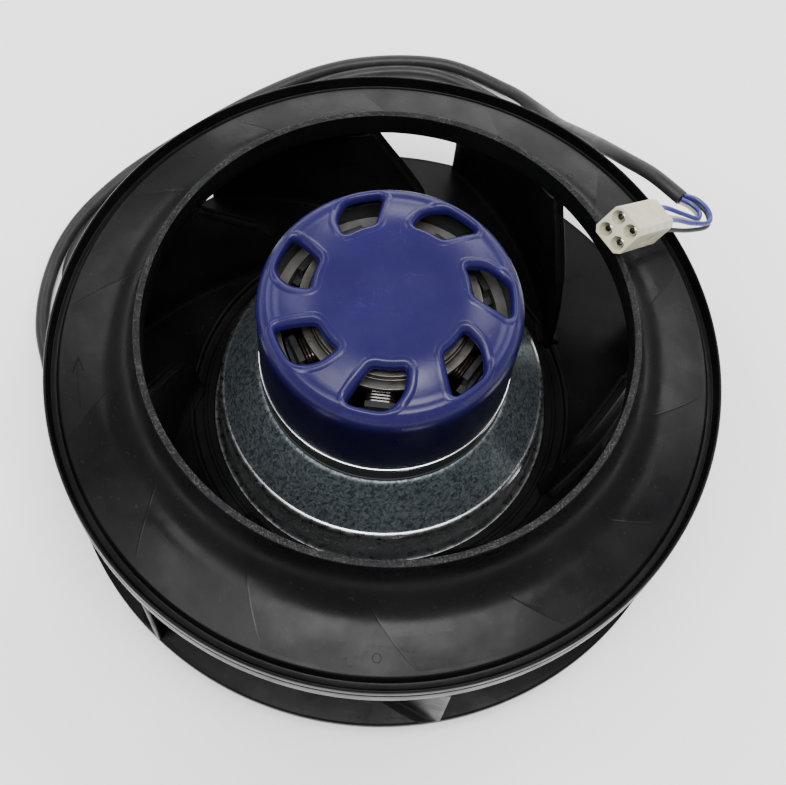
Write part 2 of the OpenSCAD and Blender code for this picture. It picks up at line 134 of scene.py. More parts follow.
def rounded(points, radius, steps=4):
    """The same outline with each corner turned into a small curve."""
    pts = [Vector(p) for p in points]
    n = len(pts)
    out = []
    for i, b in enumerate(pts):
        a, c = pts[i - 1], pts[(i + 1) % n]
        cut = min(radius, (a - b).length * 0.45, (c - b).length * 0.45)
        p = b + (a - b).normalized() * cut
        q = b + (c - b).normalized() * cut
        for k in range(steps + 1):
            t = k / steps
            out.append(p * (1 - t) ** 2 + b * 2 * t * (1 - t) + q * t * t)
    return out


def spline(route, steps):
    """Smooth path through the route's points."""
    pts = [Vector(p) for p in route]
    last = len(pts) - 1
    out = []
    for i in range(last):
        a, b = pts[max(i - 1, 0)], pts[i]
        c, d = pts[i + 1], pts[min(i + 2, last)]
        for k in range(steps):
            t = k / steps
            out.append(0.5 * (2 * b + (c - a) * t + (2 * a - 5 * b + 4 * c - d) * t * t
                              + (3 * b - 3 * c + d - a) * t ** 3))
    out.append(pts[last])
    return out


def path_length(path):
    return sum((b - a).length for a, b in zip(path, path[1:]))


# ---------- mesh building ----------
def add_object(name, verts, faces, sharp=35):
    """A mesh object from points in millimetres."""
    mesh = bpy.data.meshes.new(name)
    mesh.from_pydata([Vector(v) * MM for v in verts], [], faces)
    bm = bmesh.new()
    bm.from_mesh(mesh)
    bmesh.ops.remove_doubles(bm, verts=bm.verts, dist=1e-7)
    bmesh.ops.recalc_face_normals(bm, faces=bm.faces)
    bm.to_mesh(mesh)
    bm.free()
    mesh.polygons.foreach_set("use_smooth", [True] * len(mesh.polygons))
    mesh.set_sharp_from_angle(angle=math.radians(sharp))
    obj = bpy.data.objects.new(name, mesh)
    bpy.context.scene.collection.objects.link(obj)
    return obj


def lathe(name, profile, segments=256, sharp=35):
    """Closed (r, z) outline turned round the Z axis."""
    n = len(profile)
    verts = []
    for k in range(segments):
        a = TURN * k / segments
        verts += [(p[0] * math.cos(a), p[0] * math.sin(a), p[1]) for p in profile]
    faces = []
    for k in range(segments):
        m = (k + 1) % segments
        for i in range(n):
            j = (i + 1) % n
            faces.append((k * n + i, m * n + i, m * n + j, k * n + j))
    return add_object(name, verts, faces, sharp)


def loft(name, rings, caps=True, closed=False, sharp=35):
    """Skin over rings of points, each ring a closed loop of the same count."""
    n = len(rings[0])
    verts = [p for ring in rings for p in ring]
    faces = []
    spans = len(rings) if closed else len(rings) - 1
    for k in range(spans):
        m = (k + 1) % len(rings)
        for i in range(n):
            j = (i + 1) % n
            faces.append((k * n + i, k * n + j, m * n + j, m * n + i))
    if caps and not closed:
        faces.append(tuple(range(n)))
        faces.append(tuple((len(rings) - 1) * n + i for i in range(n)))
    return add_object(name, verts, faces, sharp)


def frames_along(path):
    """A side and an up vector at each point, carried along without twisting."""
    side = None
    out = []
    for i in range(len(path)):
        along = (path[min(i + 1, len(path) - 1)] - path[max(i - 1, 0)]).normalized()
        if side is None:
            seed = Vector((0, 0, 1)) if abs(along.z) < 0.9 else Vector((1, 0, 0))
            side = along.cross(seed).normalized()
        side = (side - along * side.dot(along)).normalized()
        out.append((side, along.cross(side)))
    return out


def tube(name, path, radius, sides=20, sharp=40):
    """Round tube along a path."""
    rings = []
    for p, (side, up) in zip(path, frames_along(path)):
        angles = [TURN * k / sides for k in range(sides)]
        rings.append([p + side * radius * math.cos(a) + up * radius * math.sin(a) for a in angles])
    return loft(name, rings, sharp=sharp)


def join(name, objects):
    """One object from several."""
    bm = bmesh.new()
    for o in objects:
        o.data.transform(o.matrix_world)
        bm.from_mesh(o.data)
        bpy.data.objects.remove(o)
    mesh = bpy.data.meshes.new(name)
    bm.to_mesh(mesh)
    bm.free()
    obj = bpy.data.objects.new(name, mesh)
    bpy.context.scene.collection.objects.link(obj)
    return obj


def cut(obj, cutter):
    """Take the cutter's shape out of obj."""
    mod = obj.modifiers.new("cut", "BOOLEAN")
    mod.operation = "DIFFERENCE"
    mod.solver = "EXACT"
    mod.object = cutter
    bpy.context.view_layer.update()
    done = bpy.data.meshes.new_from_object(obj.evaluated_get(bpy.context.evaluated_depsgraph_get()))
    obj.modifiers.clear()
    obj.data = done
    bpy.data.objects.remove(cutter)
    return obj


def soften(obj, width, segments=3, angle=40):
    """Round the sharp edges."""
    mod = obj.modifiers.new("bevel", "BEVEL")
    mod.width = width * MM
    mod.segments = segments
    mod.limit_method = "ANGLE"
    mod.angle_limit = math.radians(angle)
    mod.harden_normals = True
    return obj


def around(make, count, start=0.0):
    """Copies of one made piece, turned round Z and joined."""
    first = make()
    out = []
    for i in range(count):
        o = first if i == 0 else bpy.data.objects.new(first.name, first.data.copy())
        if i:
            bpy.context.scene.collection.objects.link(o)
        out.append(o)
    for i, o in enumerate(out):
        o.matrix_world = Matrix.Rotation(math.radians(start) + TURN * i / count, 4, "Z")
    bpy.context.view_layer.update()
    return join(first.name, out)


def finish_piece(obj, material, body, nodes=()):
    obj.data.materials.clear()
    for m in material if isinstance(material, (list, tuple)) else [material]:
        obj.data.materials.append(m)
    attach(obj, body)
    if nodes:
        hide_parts(*nodes)
    return obj


# ---------- material building ----------
def new_material(name):
    mat = bpy.data.materials.new(name)
    mat.use_nodes = True
    nt = mat.node_tree
    return mat, nt, nt.nodes["Principled BSDF"]


def place(nt, stretch=(1, 1, 1)):
    """Object coordinates, stretched."""
    coords = nt.nodes.new("ShaderNodeTexCoord")
    mapping = nt.nodes.new("ShaderNodeMapping")
    mapping.inputs["Scale"].default_value = stretch
    nt.links.new(coords.outputs["Object"], mapping.inputs["Vector"])
    return mapping.outputs["Vector"]


def noise(nt, scale, detail=4, stretch=(1, 1, 1)):
    node = nt.nodes.new("ShaderNodeTexNoise")
    node.inputs["Scale"].default_value = scale
    node.inputs["Detail"].default_value = detail
    nt.links.new(place(nt, stretch), node.inputs["Vector"])
    return node.outputs["Fac"]


def remap(nt, value, lo, hi, to_lo, to_hi):
    node = nt.nodes.new("ShaderNodeMapRange")
    node.inputs["From Min"].default_value = lo
    node.inputs["From Max"].default_value = hi
    node.inputs["To Min"].default_value = to_lo
    node.inputs["To Max"].default_value = to_hi
    nt.links.new(value, node.inputs["Value"])
    return node.outputs["Result"]


def calc(nt, operation, a, b=0.0):
    node = nt.nodes.new("ShaderNodeMath")
    node.operation = operation
    for socket, value in zip(node.inputs, (a, b)):
        if isinstance(value, (int, float)):
            socket.default_value = value
        else:
            nt.links.new(value, socket)
    return node.outputs["Value"]


def mix_colour(nt, factor, a, b):
    node = nt.nodes.new("ShaderNodeMix")
    node.data_type = "RGBA"
    nt.links.new(factor, node.inputs["Factor"])
    for socket, value in ((node.inputs[6], a), (node.inputs[7], b)):
        if isinstance(value, tuple):
            socket.default_value = (*value, 1)
        else:
            nt.links.new(value, socket)
    return node.outputs[2]


def bump(nt, height, depth_mm, normal=None):
    node = nt.nodes.new("ShaderNodeBump")
    node.inputs["Strength"].default_value = 1
    node.inputs["Distance"].default_value = depth_mm * MM
    nt.links.new(height, node.inputs["Height"])
    if normal is not None:
        nt.links.new(normal, node.inputs["Normal"])
    return node.outputs["Normal"]


def scratches(nt, density):
    """Thin wandering lines in two directions, 1 on a scratch."""
    lines = []
    for stretch in ((1, 14, 5), (16, 1.3, 4)):
        field = noise(nt, 45, 2, stretch)
        near = calc(nt, "ABSOLUTE", calc(nt, "SUBTRACT", field, 0.5))
        lines.append(remap(nt, near, 0.0, 0.004 * density, 1, 0))
    mask = remap(nt, noise(nt, 38, 3), 0.52, 0.66, 0, 1)
    return calc(nt, "MULTIPLY", calc(nt, "MAXIMUM", *lines), mask)


def weld_lines(nt, count, sweep):
    """Faint curved lines running outward round the shroud, and the shallow slope beside each."""
    parts = nt.nodes.new("ShaderNodeSeparateXYZ")
    nt.links.new(place(nt), parts.inputs["Vector"])
    x, y = parts.outputs["X"], parts.outputs["Y"]
    angle = calc(nt, "ARCTAN2", y, x)
    radius = calc(nt, "SQRT", calc(nt, "ADD", calc(nt, "MULTIPLY", x, x), calc(nt, "MULTIPLY", y, y)))
    lag = remap(nt, radius, 0.070, 0.092, 0, math.radians(sweep))
    turns = calc(nt, "MULTIPLY", calc(nt, "SUBTRACT", angle, lag), count / TURN)
    off = calc(nt, "ABSOLUTE", calc(nt, "SUBTRACT", calc(nt, "FRACT", turns), 0.5))
    line = remap(nt, off, 0.0, 0.012, 1, 0)
    slope = remap(nt, calc(nt, "FRACT", calc(nt, "ADD", turns, 0.5)), 0, 0.8, 1, 0)
    outside = remap(nt, radius, 0.0705, 0.073, 0, 1)
    inside = remap(nt, radius, 0.086, 0.0895, 1, 0)
    soft_start = remap(nt, radius, 0.071, 0.081, 0, 1)
    soft_end = remap(nt, radius, 0.08, 0.0895, 1, 0)
    soft_band = calc(nt, "MULTIPLY", soft_start, soft_end)
    line = calc(nt, "MULTIPLY", line, calc(nt, "MULTIPLY", outside, inside))
    return line, calc(nt, "MULTIPLY", slope, soft_band)


def surface(name, dark, light, rough, swing=0.08, patch=60, grain=2600, grain_mm=0.01, metal=0.0,
            specular=0.5, coat=0.0, scratch=0.0, scratch_colour=None, dust=0.0, wave=0.0, marks=None):
    """Mottled colour, uneven gloss, fine grain, slow waviness, scratches and settled dust."""
    mat, nt, shader = new_material(name)
    cloud = noise(nt, patch, 6)
    colour = mix_colour(nt, remap(nt, cloud, 0.3, 0.7, 0, 1), dark, light)
    fine = noise(nt, grain, 3)
    gloss = remap(nt, noise(nt, patch * 2.3, 5), 0.3, 0.7, rough - swing, rough + swing)
    normal = bump(nt, fine, grain_mm)
    if wave:
        normal = bump(nt, noise(nt, 130, 2), wave, normal)
    if scratch:
        line = scratches(nt, scratch)
        colour = mix_colour(nt, calc(nt, "MULTIPLY", line, 0.5), colour, scratch_colour or light)
        gloss = calc(nt, "ADD", gloss, calc(nt, "MULTIPLY", line, 0.12))
        normal = bump(nt, calc(nt, "MULTIPLY", line, -1), 0.015, normal)
    if marks is not None:
        line, slope = weld_lines(nt, *marks)
        gloss = calc(nt, "SUBTRACT", gloss, calc(nt, "MULTIPLY", slope, 0.09))
        normal = bump(nt, line, 0.03, normal)
        normal = bump(nt, slope, 0.35, normal)
    if dust:
        specks = remap(nt, noise(nt, 900, 2), 0.66, 0.74, 0, dust)
        haze = remap(nt, noise(nt, 30, 4), 0.45, 0.75, 0, dust * 0.35)
        amount = calc(nt, "ADD", specks, haze)
        colour = mix_colour(nt, amount, colour, (0.34, 0.33, 0.31))
        gloss = calc(nt, "ADD", gloss, calc(nt, "MULTIPLY", amount, 0.5))
    nt.links.new(colour, shader.inputs["Base Color"])
    nt.links.new(gloss, shader.inputs["Roughness"])
    nt.links.new(normal, shader.inputs["Normal"])
    shader.inputs["Metallic"].default_value = metal
    shader.inputs["Specular IOR Level"].default_value = specular
    shader.inputs["Coat Weight"].default_value = coat
    shader.inputs["Coat Roughness"].default_value = 0.12
    return mat


def spangled_zinc(name):
    """Galvanised sheet: crystals of slightly different grey, each with its own gloss."""
    mat, nt, shader = new_material(name)
    warp = noise(nt, 220, 3)
    cells = nt.nodes.new("ShaderNodeTexVoronoi")
    cells.inputs["Scale"].default_value = 1500
    cells.inputs["Randomness"].default_value = 1
    offset = nt.nodes.new("ShaderNodeVectorMath")
    offset.operation = "MULTIPLY_ADD"
    offset.inputs[1].default_value = (0.004, 0.004, 0.004)
    nt.links.new(warp, offset.inputs[0])
    nt.links.new(place(nt), offset.inputs[2])
    nt.links.new(offset.outputs["Vector"], cells.inputs["Vector"])
    tone = nt.nodes.new("ShaderNodeSeparateColor")
    nt.links.new(cells.outputs["Color"], tone.inputs["Color"])
    patch = calc(nt, "ADD", calc(nt, "MULTIPLY", tone.outputs["Red"], 0.5),
                 calc(nt, "MULTIPLY", noise(nt, 1500, 6), 0.75))
    colour = mix_colour(nt, remap(nt, patch, 0.35, 0.95, 0, 1), (0.024, 0.033, 0.039), (0.12, 0.14, 0.148))
    gloss = remap(nt, tone.outputs["Green"], 0, 1, 0.34, 0.5)
    normal = bump(nt, noise(nt, 1500, 3), 0.008)
    nt.links.new(bump(nt, patch, 0.02, normal), shader.inputs["Normal"])
    nt.links.new(colour, shader.inputs["Base Color"])
    nt.links.new(gloss, shader.inputs["Roughness"])
    shader.inputs["Metallic"].default_value = 0.65
    return mat


def granular(name):
    """Cut plastic edge with pale sparkling grains."""
    mat, nt, shader = new_material(name)
    grains = noise(nt, 3200, 5)
    patch = noise(nt, 240, 4)
    spark = remap(nt, grains, 0.5, 0.7, 0, 1)
    amount = calc(nt, "MULTIPLY", spark, remap(nt, patch, 0.35, 0.6, 0.35, 1))
    colour = mix_colour(nt, amount, (0.004, 0.004, 0.005), (0.075, 0.075, 0.072))
    nt.links.new(colour, shader.inputs["Base Color"])
    nt.links.new(remap(nt, grains, 0.3, 0.7, 0.62, 0.38), shader.inputs["Roughness"])
    nt.links.new(bump(nt, grains, 0.06), shader.inputs["Normal"])
    shader.inputs["Specular IOR Level"].default_value = 0.12
    return mat


def blue_enamel(name):
    """Semi-gloss paint on pressed sheet: full colour on the crown, with painted shade darkening it down the
    side wall.
    """
    mat, nt, shader = new_material(name)
    cloud = remap(nt, noise(nt, 42, 5), 0.3, 0.7, 0, 1)
    colour = mix_colour(nt, cloud, (0.0065, 0.0042, 0.046), (0.01, 0.007, 0.064))
    height = nt.nodes.new("ShaderNodeSeparateXYZ")
    nt.links.new(place(nt), height.inputs["Vector"])
    # painted shade: below the brow the blue is mixed towards near-black, standing in for the dark the side
    # wall faces
    wall = remap(nt, height.outputs["Z"], (CAN_TOP - 11) * MM, (CAN_TOP - 5.5) * MM, 0.85, 0)
    colour = mix_colour(nt, wall, colour, (0.002, 0.0016, 0.01))
    rub = remap(nt, noise(nt, 520, 6), 0.69, 0.76, 0, 0.3)
    colour = mix_colour(nt, rub, colour, (0.06, 0.06, 0.2))
    gloss = remap(nt, noise(nt, 110, 5), 0.3, 0.7, 0.26, 0.38)
    normal = bump(nt, noise(nt, 900, 2), 0.022)
    normal = bump(nt, noise(nt, 3800, 2), 0.004, normal)
    line = scratches(nt, 1.2)
    colour = mix_colour(nt, calc(nt, "MULTIPLY", line, 0.35), colour, (0.08, 0.08, 0.22))
    nt.links.new(colour, shader.inputs["Base Color"])
    nt.links.new(gloss, shader.inputs["Roughness"])
    nt.links.new(normal, shader.inputs["Normal"])
    shader.inputs["Specular IOR Level"].default_value = 0.22
    shader.inputs["Coat Weight"].default_value = 0.06
    shader.inputs["Coat Roughness"].default_value = 0.15
    return mat


def ivory_nylon(name):
    """Moulded nylon: translucent, faintly mottled, with flow marks."""
    mat, nt, shader = new_material(name)
    cloud = remap(nt, noise(nt, 260, 5), 0.3, 0.7, 0, 1)
    colour = mix_colour(nt, cloud, (0.4, 0.375, 0.265), (0.49, 0.47, 0.355))
    grime = remap(nt, noise(nt, 700, 5), 0.62, 0.75, 0, 0.4)
    colour = mix_colour(nt, grime, colour, (0.25, 0.225, 0.15))
    nt.links.new(colour, shader.inputs["Base Color"])
    nt.links.new(remap(nt, noise(nt, 500, 4), 0.3, 0.7, 0.42, 0.58), shader.inputs["Roughness"])
    normal = bump(nt, noise(nt, 420, 3), 0.05)
    nt.links.new(bump(nt, noise(nt, 3000, 2), 0.01, normal), shader.inputs["Normal"])
    shader.inputs["Subsurface Weight"].default_value = 0.18
    shader.inputs["Subsurface Radius"].default_value = (0.002, 0.0016, 0.001)
    shader.inputs["Subsurface Scale"].default_value = 1
    return mat


moulded = surface("moulded_black", (0.002, 0.002, 0.0024), (0.004, 0.004, 0.0045), 0.33, 0.07, 55, 2600,
                  0.004, specular=0.05, scratch=0.5, scratch_colour=(0.02, 0.02, 0.02), dust=0.02, wave=0.05)
moulded_shroud = surface("moulded_shroud", (0.002, 0.002, 0.0024), (0.004, 0.004, 0.0045), 0.3, 0.08, 40,
                         2600, 0.004, specular=0.11, scratch=0.4, scratch_colour=(0.02, 0.02, 0.02),
                         dust=0.02, wave=0.08, marks=(14, 12))
cut_edge = granular("collar_cut_face")
zinc = spangled_zinc("galvanised_steel")
# partly painted highlight: the rim band is bare drawn metal, and its colour is raised to stand in for the
# bright highlight along the rounded lip
drawn_edge = surface("drawn_edge", (0.6, 0.61, 0.62), (0.78, 0.79, 0.8), 0.3, 0.07, 260, 2600, 0.006, metal=1)
enamel = blue_enamel("blue_enamel")
bright = surface("bright_ring", (0.62, 0.62, 0.63), (0.8, 0.8, 0.81), 0.2, 0.06, 300, 3000, 0.003, metal=1)
seal = surface("black_seal", (0.01, 0.01, 0.011), (0.018, 0.018, 0.02), 0.5, 0.06, 120, 3000, 0.01)
dark_steel = surface("yoke_steel", (0.05, 0.052, 0.056), (0.09, 0.092, 0.097), 0.38, 0.08, 160, 2500,
                     0.006, metal=1, scratch=1.5)
ground = surface("ground_steel", (0.55, 0.56, 0.58), (0.68, 0.69, 0.7), 0.22, 0.05, 240, 4000, 0.003,
                 metal=1, scratch=1)
spring = surface("spring_steel", (0.12, 0.12, 0.125), (0.2, 0.2, 0.21), 0.35, 0.06, 240, 3000, 0.005, metal=1)
bonded = surface("bonded_magnet", (0.05, 0.049, 0.046), (0.09, 0.088, 0.082), 0.65, 0.08, 300, 2200, 0.06)
cast = surface("cast_aluminium", (0.06, 0.057, 0.053), (0.11, 0.105, 0.098), 0.38, 0.08, 130, 1600, 0.03,
               metal=1, scratch=1)
brass = surface("cage_brass", (0.5, 0.38, 0.16), (0.66, 0.52, 0.24), 0.35, 0.06, 240, 3000, 0.005, metal=1)
copper = surface("varnished_wire", (0.008, 0.004, 0.003), (0.018, 0.009, 0.006), 0.3, 0.06, 420, 3000, 0.005,
                 coat=0.5)
insulator = surface("black_insulator", (0.004, 0.004, 0.005), (0.009, 0.009, 0.01), 0.38, 0.06, 180,
                    2400, 0.01)
board = surface("board_green", (0.01, 0.08, 0.035), (0.02, 0.13, 0.06), 0.35, 0.06, 240, 3000, 0.006,
                coat=0.4)
sleeve = surface("capacitor_sleeve", (0.02, 0.02, 0.03), (0.04, 0.04, 0.06), 0.28, 0.05, 240, 3000, 0.005)
chip = surface("chip_black", (0.015, 0.015, 0.015), (0.03, 0.03, 0.03), 0.6, 0.06, 300, 3200, 0.015)
foam = surface("gasket_rubber", (0.015, 0.015, 0.016), (0.03, 0.03, 0.03), 0.8, 0.08, 240, 2400, 0.05)
zinc_screw = surface("screw_steel", (0.5, 0.5, 0.52), (0.66, 0.66, 0.67), 0.3, 0.06, 300, 3000, 0.004,
                     metal=1, scratch=1)
rubber = surface("gland_rubber", (0.012, 0.012, 0.012), (0.022, 0.022, 0.022), 0.55, 0.07, 120, 2200, 0.02)
jacket = surface("cable_jacket", (0.012, 0.012, 0.0125), (0.021, 0.021, 0.0215), 0.42, 0.08, 90, 2200, 0.012,
                 specular=0.22, scratch=0.8, scratch_colour=(0.05, 0.05, 0.05), dust=0.07, wave=0.05)
blue_wire = surface("core_blue", (0.018, 0.02, 0.13), (0.028, 0.03, 0.18), 0.33, 0.06, 300, 3000, 0.006)
white_wire = surface("core_white", (0.42, 0.38, 0.27), (0.52, 0.48, 0.36), 0.36, 0.06, 300, 3000, 0.006)
black_wire = surface("core_black", (0.012, 0.012, 0.013), (0.03, 0.03, 0.032), 0.33, 0.06, 300, 3000, 0.006)
nylon = ivory_nylon("connector_ivory")
tin = surface("contact_tin", (0.6, 0.59, 0.55), (0.78, 0.77, 0.73), 0.22, 0.06, 500, 4000, 0.01, metal=1)
floor_paper = surface("floor_paper", (0.93, 0.93, 0.93), (0.95, 0.95, 0.95), 0.9, 0.02, 3, 400, 0.01)

# ---------- camera ----------
PITCH = math.radians(62.98)
ROLL = math.radians(6.14)
back = Vector((0, -math.cos(PITCH), math.sin(PITCH)))
level = Vector((1, 0, 0))
upward = back.cross(level)
across = level * math.cos(ROLL) + upward * math.sin(ROLL)
camera_data = bpy.data.cameras.new("camera")
camera_data.lens = 60.7
camera_data.sensor_width = 36
camera_data.shift_x = 0.0047
camera_data.shift_y = -0.0933
camera_data.clip_start = 0.01
camera = bpy.data.objects.new("camera", camera_data)
bpy.context.scene.collection.objects.link(camera)
TARGET = Vector((0, 0, INLET_Z * MM))
CAMERA_DISTANCE = 0.3554
turned = Matrix((across, back.cross(across), back)).transposed().to_4x4()
camera.matrix_world = Matrix.Translation(TARGET + back * CAMERA_DISTANCE) @ turned
bpy.context.scene.camera = camera

# ---------- cable and cores ----------
CABLE_D = 4.6
CORE_D = 1.4
cable_route = [
    (-66, 11.6, 9.2), (-73, 12.8, 8.6), (-80, 14.3, 6.6), (-87, 16.8, 4.2), (-94, 20.8, 2.8),
    (-101, 27, 2.4), (-106.5, 35.5, 2.3), (-109.2, 47, 2.3), (-106.6, 60, 2.3),
    (-98.4, 75.6, 2.3), (-84, 93, 2.3), (-54, 120, 2.3), (-25, 138.6, 2.3), (7, 143.8, 2.3),
    (37.2, 130.6, 2.3), (64, 112, 2.3), (83, 84, 2.3), (90, 50, 2.3), (85, 12, 2.3),
    (66, -24, 2.3), (34, -52, 2.3), (-4, -64, 2.3), (-42, -64, 2.3), (-74, -49, 2.3),
    (-95.5, -23, 2.3), (-107, 7, 2.3), (-113.5, 24, 2.3), (-115.1, 42, 2.3), (-112, 60, 2.3),
    (-103.5, 77, 2.3), (-88, 96, 2.3), (-56, 125.5, 2.3), (-26, 143.7, 2.3), (8, 149, 2.5),
    (33.4, 140, 3.3), (45, 127.8, 9.6), (51.2, 113.6, 21.4), (56, 100.2, 35.6), (61.2, 87.2, 49),
    (67.4, 76, 58.8), (75, 67.6, 63.9), (83.5, 60, 64.5)]
core_routes = {
    "core_blue_a": [
        (83.1, 59.2, 65.3), (86.3, 58.3, 64.6), (88.7, 55.6, 64.8), (87.6, 52.4, 66.2),
        (82.2, 51.2, 69.8), (76, 50, 73.9), (71.5, 46.1, 78.4)],
    "core_blue_b": [
        (83.9, 60.8, 65.3), (88.3, 60, 64.6), (91.6, 56.4, 64.6), (91.2, 51.8, 65.7),
        (85.4, 48.6, 69.2), (79.6, 46.4, 73.4), (74.8, 42.5, 77.9)],
    "core_white": [
        (83.1, 59.2, 63.7), (86.4, 58.2, 62.9), (88.8, 55.4, 62.9), (87.7, 52.2, 64),
        (81.9, 51, 67.1), (75, 49, 70.4), (68.8, 44.3, 74.7)],
    "core_black": [
        (83.9, 60.8, 63.7), (88.4, 60, 62.8), (91.7, 56.4, 62.5), (91.1, 51.5, 63.6),
        (84.6, 47.6, 66.6), (78, 45, 69.8), (72.1, 40.7, 74.1)]}
core_looks = {"core_blue_a": (blue_wire, "core_blue"), "core_blue_b": (blue_wire, "core_blue"),
              "core_white": (white_wire, "core_white"), "core_black": (black_wire, "core_black")}

cable_path = spline(cable_route, 16)
cable = tube("cable", cable_path, CABLE_D / 2, 28)
finish_piece(cable, jacket, "motor", ["supply_cable"])

for node, route in core_routes.items():
    path = spline(route, 14)
    core = tube(node + "_wire", path, CORE_D / 2, 18)
    finish_piece(core, core_looks[node][0], "motor", [node])

# ---------- connector ----------
PLUG_TURN = -132
PLUG_LEAN = 50
PLUG_ROLL = -9.5
PLUG_W = 10.4
PLUG_L = 25
PLUG_PITCH = 5
SOCKET_DEPTH = 12
plug_pose = (Matrix.Translation(Vector(MOUNTS["power_connector"]["pos_m"]))
             @ Matrix.Rotation(math.radians(PLUG_TURN), 4, "Z")
             @ Matrix.Rotation(math.radians(PLUG_LEAN), 4, "Y")
             @ Matrix.Rotation(math.radians(PLUG_ROLL), 4, "Z"))
SOCKETS = [(x * PLUG_PITCH / 2, y * PLUG_PITCH / 2) for x in (-1, 1) for y in (-1, 1)]


def block(name, half_x, half_y, chamfer, low, high, centre=(0, 0)):
    """Upright bar with cut corners between two levels."""
    a, b, c = half_x, half_y, chamfer
    side = [(-a + c, -b), (a - c, -b), (a, -b + c), (a, b - c), (a - c, b), (-a + c, b),
            (-a, b - c), (-a, -b + c)]
    return loft(name, [[(x + centre[0], y + centre[1], z) for x, y in side] for z in (low, high)])


def round_cut(name, x, y, stations, sides=40):
    """Turned cutter: stations are (radius, level)."""
    rings = [[(x + r * math.cos(TURN * k / sides), y + r * math.sin(TURN * k / sides), z)
              for k in range(sides)] for r, z in stations]
    return loft(name, rings)


def connector_shell():
    h = PLUG_W / 2 - 0.02
    body = block("shell", h, h, 1.4, -PLUG_L, 0)
    cutters = [round_cut("socket", x, y, [(1.1, -PLUG_L - 1), (1.1, -SOCKET_DEPTH - 1), (1.35, -SOCKET_DEPTH),
                                          (1.35, -2.6), (1.95, -0.5), (2.05, 1)]) for x, y in SOCKETS]
    for cutter in cutters:
        cut(body, cutter)
    for low, high in ((-7.6, -7.2), (-18.4, -18)):
        for side in (-1, 1):
            groove = block("groove", PLUG_W, 0.22, 0.01, low, high, (0, side * PLUG_W / 2))
            cut(body, groove)
    slot = block("slot", 1.6, 0.7, 0.1, -17, -9.5, (0, PLUG_W / 2))
    cut(body, slot)
    return body


shell = connector_shell()
shell.data.transform(plug_pose)
soften(shell, 0.22, 3, 30)
finish_piece(shell, nylon, "motor", ["connector_housing"])


def contact(x, y):
    """Rolled socket: split tube with a flared mouth and a crimp behind."""
    sides = 36
    gap = math.radians(34)
    rings = []
    for r, z in ((0.75, -SOCKET_DEPTH - 3), (0.8, -8), (1.0, -7), (1.0, -2.6), (1.15, -2), (0.9, -1.9),
                 (0.78, -2.8), (0.78, -7), (0.5, -8.2)):
        ring = []
        for k in range(sides):
            a = gap / 2 + (TURN - gap) * k / (sides - 1)
            ring.append((x + r * math.cos(a), y + r * math.sin(a), z))
        rings.append(ring)
    return loft("contact", rings)


contacts = join("contacts", [contact(x, y) for x, y in SOCKETS])
contacts.data.transform(plug_pose)
finish_piece(contacts, tin, "motor", ["connector_contacts"])


# ---------- cable gland ----------
GLAND_ANGLE = 170
GLAND_Z = 9.2


def gland():
    """Moulded bushing with a ribbed, tapering strain relief."""
    start = BASE_R - 2.5 - 1.8
    wall = 4.5
    end = 67
    profile = [(0.01, start), (4.9, start), (4.9, start + 1.4), (3.9, start + 1.4), (3.9, start + wall),
               (5, start + wall), (5, start + wall + 1.4), (4.5, start + wall + 1.5)]
    ribs = 9
    begin = start + wall + 1.6
    pitch = (end - 1.5 - begin) / ribs
    for i in range(ribs):
        at = begin + pitch * i
        r = blend(4.4, CABLE_D / 2 + 0.75, i / ribs)
        profile += [(r, at), (r - 0.05, at + pitch * 0.55), (r - 0.6, at + pitch * 0.6),
                    (r - 0.62, at + pitch * 0.95)]
    profile += [(CABLE_D / 2 + 0.65, end - 1.4), (CABLE_D / 2 + 0.6, end), (0.01, end)]
    obj = lathe("gland_boot", rounded(profile, 0.2, steps=2), 64)
    obj.data.transform(Matrix.Rotation(math.radians(GLAND_ANGLE), 4, "Z")
                       @ Matrix.Translation((0, 0, GLAND_Z * MM)) @ Matrix.Rotation(math.radians(90), 4, "Y"))
    return obj


finish_piece(gland(), rubber, "motor", ["cable_gland"])


# ---------- inlet shroud ----------
ARROW_R = 85.2


def shroud_top():
    return ([(INLET_R, INLET_Z), (INLET_R + COLLAR_WALL, INLET_Z)]
            + arc(FLARE_C, FLARE_R, 180, FLARE_END, 26)
            + [RIDGE, (RIDGE[0] + 0.4, RIDGE[1] - 0.3), (RIDGE[0] + 0.55, RIDGE[1] - 0.85),
               (RIDGE[0] + 0.45, RIDGE[1] - 0.95), (RIDGE[0] + 0.6, RIDGE[1] - 1.05),
               (RIDGE[0] + 0.85, RIDGE[1] - 2), (RIDGE[0] + 0.75, RIDGE[1] - 2.1), (RIDGE[0] + 1, GUTTER_Z),
               (WHEEL_R - 1.7, GUTTER_Z), (WHEEL_R - 1, LIP_Z - 0.2), (WHEEL_R - 0.6, LIP_Z),
               (WHEEL_R - 0.12, LIP_Z - 0.6), (WHEEL_R - 0.02, LIP_Z - 2.8), (WHEEL_R - 0.35, LIP_Z - 3.1),
               (WHEEL_R - 0.35, LIP_Z - 3.7), (WHEEL_R - 0.02, LIP_Z - 4)])


def shroud_under():
    r = FLARE_R + SHROUD_T
    start = 180 + math.degrees(math.asin((COLLAR_DEPTH - COLLAR_STRAIGHT) / r))
    return ([(INLET_R, INLET_Z - COLLAR_DEPTH)] + arc(FLARE_C, r, start, FLARE_END, 20)
            + [(RIDGE[0] + 0.4, RIDGE[1] - 2.2), (RIDGE[0] + 0.6, SKIRT_Z + 3.2), (SKIRT_IN, SKIRT_Z + 3.2)])


def surface_z(r):
    """Height of the shroud's upper face at a radius."""
    flare_x = FLARE_C[0] + polar(FLARE_R, FLARE_END)[0]
    if r < flare_x:
        return FLARE_C[1] - math.sqrt(FLARE_R ** 2 - (r - FLARE_C[0]) ** 2)
    edge = FLARE_C[1] + polar(FLARE_R, FLARE_END)[1]
    return blend(edge, RIDGE[1], (r - flare_x) / (RIDGE[0] - flare_x))


